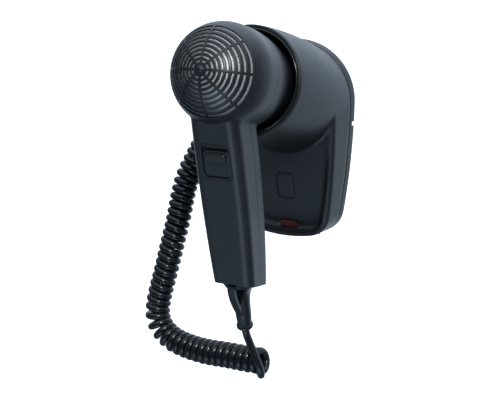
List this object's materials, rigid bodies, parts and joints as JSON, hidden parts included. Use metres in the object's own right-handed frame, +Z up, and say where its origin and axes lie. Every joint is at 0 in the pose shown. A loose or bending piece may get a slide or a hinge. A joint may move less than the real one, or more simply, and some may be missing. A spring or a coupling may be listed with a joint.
{
  "type": "hair dryer holder",
  "caption": "Wall-mounted hair dryer holder: tilted cup on a rounded plate with a docked dryer that lifts out on a curly cord, domed slotted intake and thumb switch.",
  "frame": {"origin": "centre of the wall plate's back face, on the wall plane", "axes": "+Y into the wall, -Y to the room, +Z up, +X to the right for a person facing the wall"},
  "size_m": [0.1708, 0.1969, 0.311],
  "materials": {
    "holder_plastic": "satin moulded",
    "liner_plastic": "polished",
    "lens_red": "clear tinted",
    "lamp_glass": "clear",
    "screw_steel": "zinc plated",
    "inner_plastic": "natural",
    "cord_pvc": "smooth PVC",
    "dryer_plastic": "satin moulded",
    "screen_metal": "perforated",
    "motor_steel": "zinc plated",
    "mica": "mica board",
    "heater_wire": "resistance wire",
    "cutout_body": "pressed",
    "switch_plastic": "satin moulded"
  },
  "bodies": {
    "holder": {"wall_plate": "holder_plastic", "front_cover": "holder_plastic", "cup_liner": "liner_plastic", "badge": "holder_plastic", "pilot_lens": "lens_red", "pilot_lamp": "lamp_glass", "cover_screws": "screw_steel", "terminal_block": "inner_plastic", "terminal_screws": "screw_steel", "dock_switch": "inner_plastic", "cord_gland": "cord_pvc", "holder_clamp": "inner_plastic", "holder_clamp_screws": "screw_steel", "cord_lead": "cord_pvc", "coil_cord": "cord_pvc", "cord_tail": "cord_pvc"},
    "dock_plunger": {"dock_plunger": "inner_plastic"},
    "dryer": {"intake_shell": "dryer_plastic", "outlet_shell": "dryer_plastic", "shell_screws": "screw_steel", "intake_screen": "screen_metal", "fan_duct": "inner_plastic", "motor": "motor_steel", "heater_frame": "mica", "heater_coils": "heater_wire", "heater_sleeve": "mica", "thermal_cutout": "cutout_body", "outlet_grille": "inner_plastic", "switch_frame": "switch_plastic", "switch_body": "inner_plastic", "strain_relief": "cord_pvc", "handle_lead": "cord_pvc", "handle_clamp": "inner_plastic", "handle_clamp_screws": "screw_steel"},
    "fan": {"impeller": "inner_plastic", "motor_shaft": "screw_steel"},
    "thumb_switch": {"switch_slider": "switch_plastic"}
  },
  "joints": [
    {"name": "dryer_lift", "type": "slide", "parent": "holder", "child": "dryer", "axis": [0, -0.9721, 0.2345], "range_m": [0, 0.084]},
    {"name": "dock_press", "type": "slide", "parent": "holder", "child": "dock_plunger", "axis": [0, -0.9721, 0.2345], "range_m": [0, 0.003]},
    {"name": "fan_spin", "type": "hinge", "parent": "dryer", "child": "fan", "pos_m": [0, -0.15554, 0.07991], "axis": [0, -0.9721, 0.2345], "continuous": true},
    {"name": "switch_slide", "type": "slide", "parent": "dryer", "child": "thumb_switch", "axis": [0, -0.2335, 0.9724], "range_m": [0, 0.0042]}
  ],
  "couplings": [
    {"joint": "dock_press", "follows": "dryer_lift", "ratio": 0.035}
  ]
}
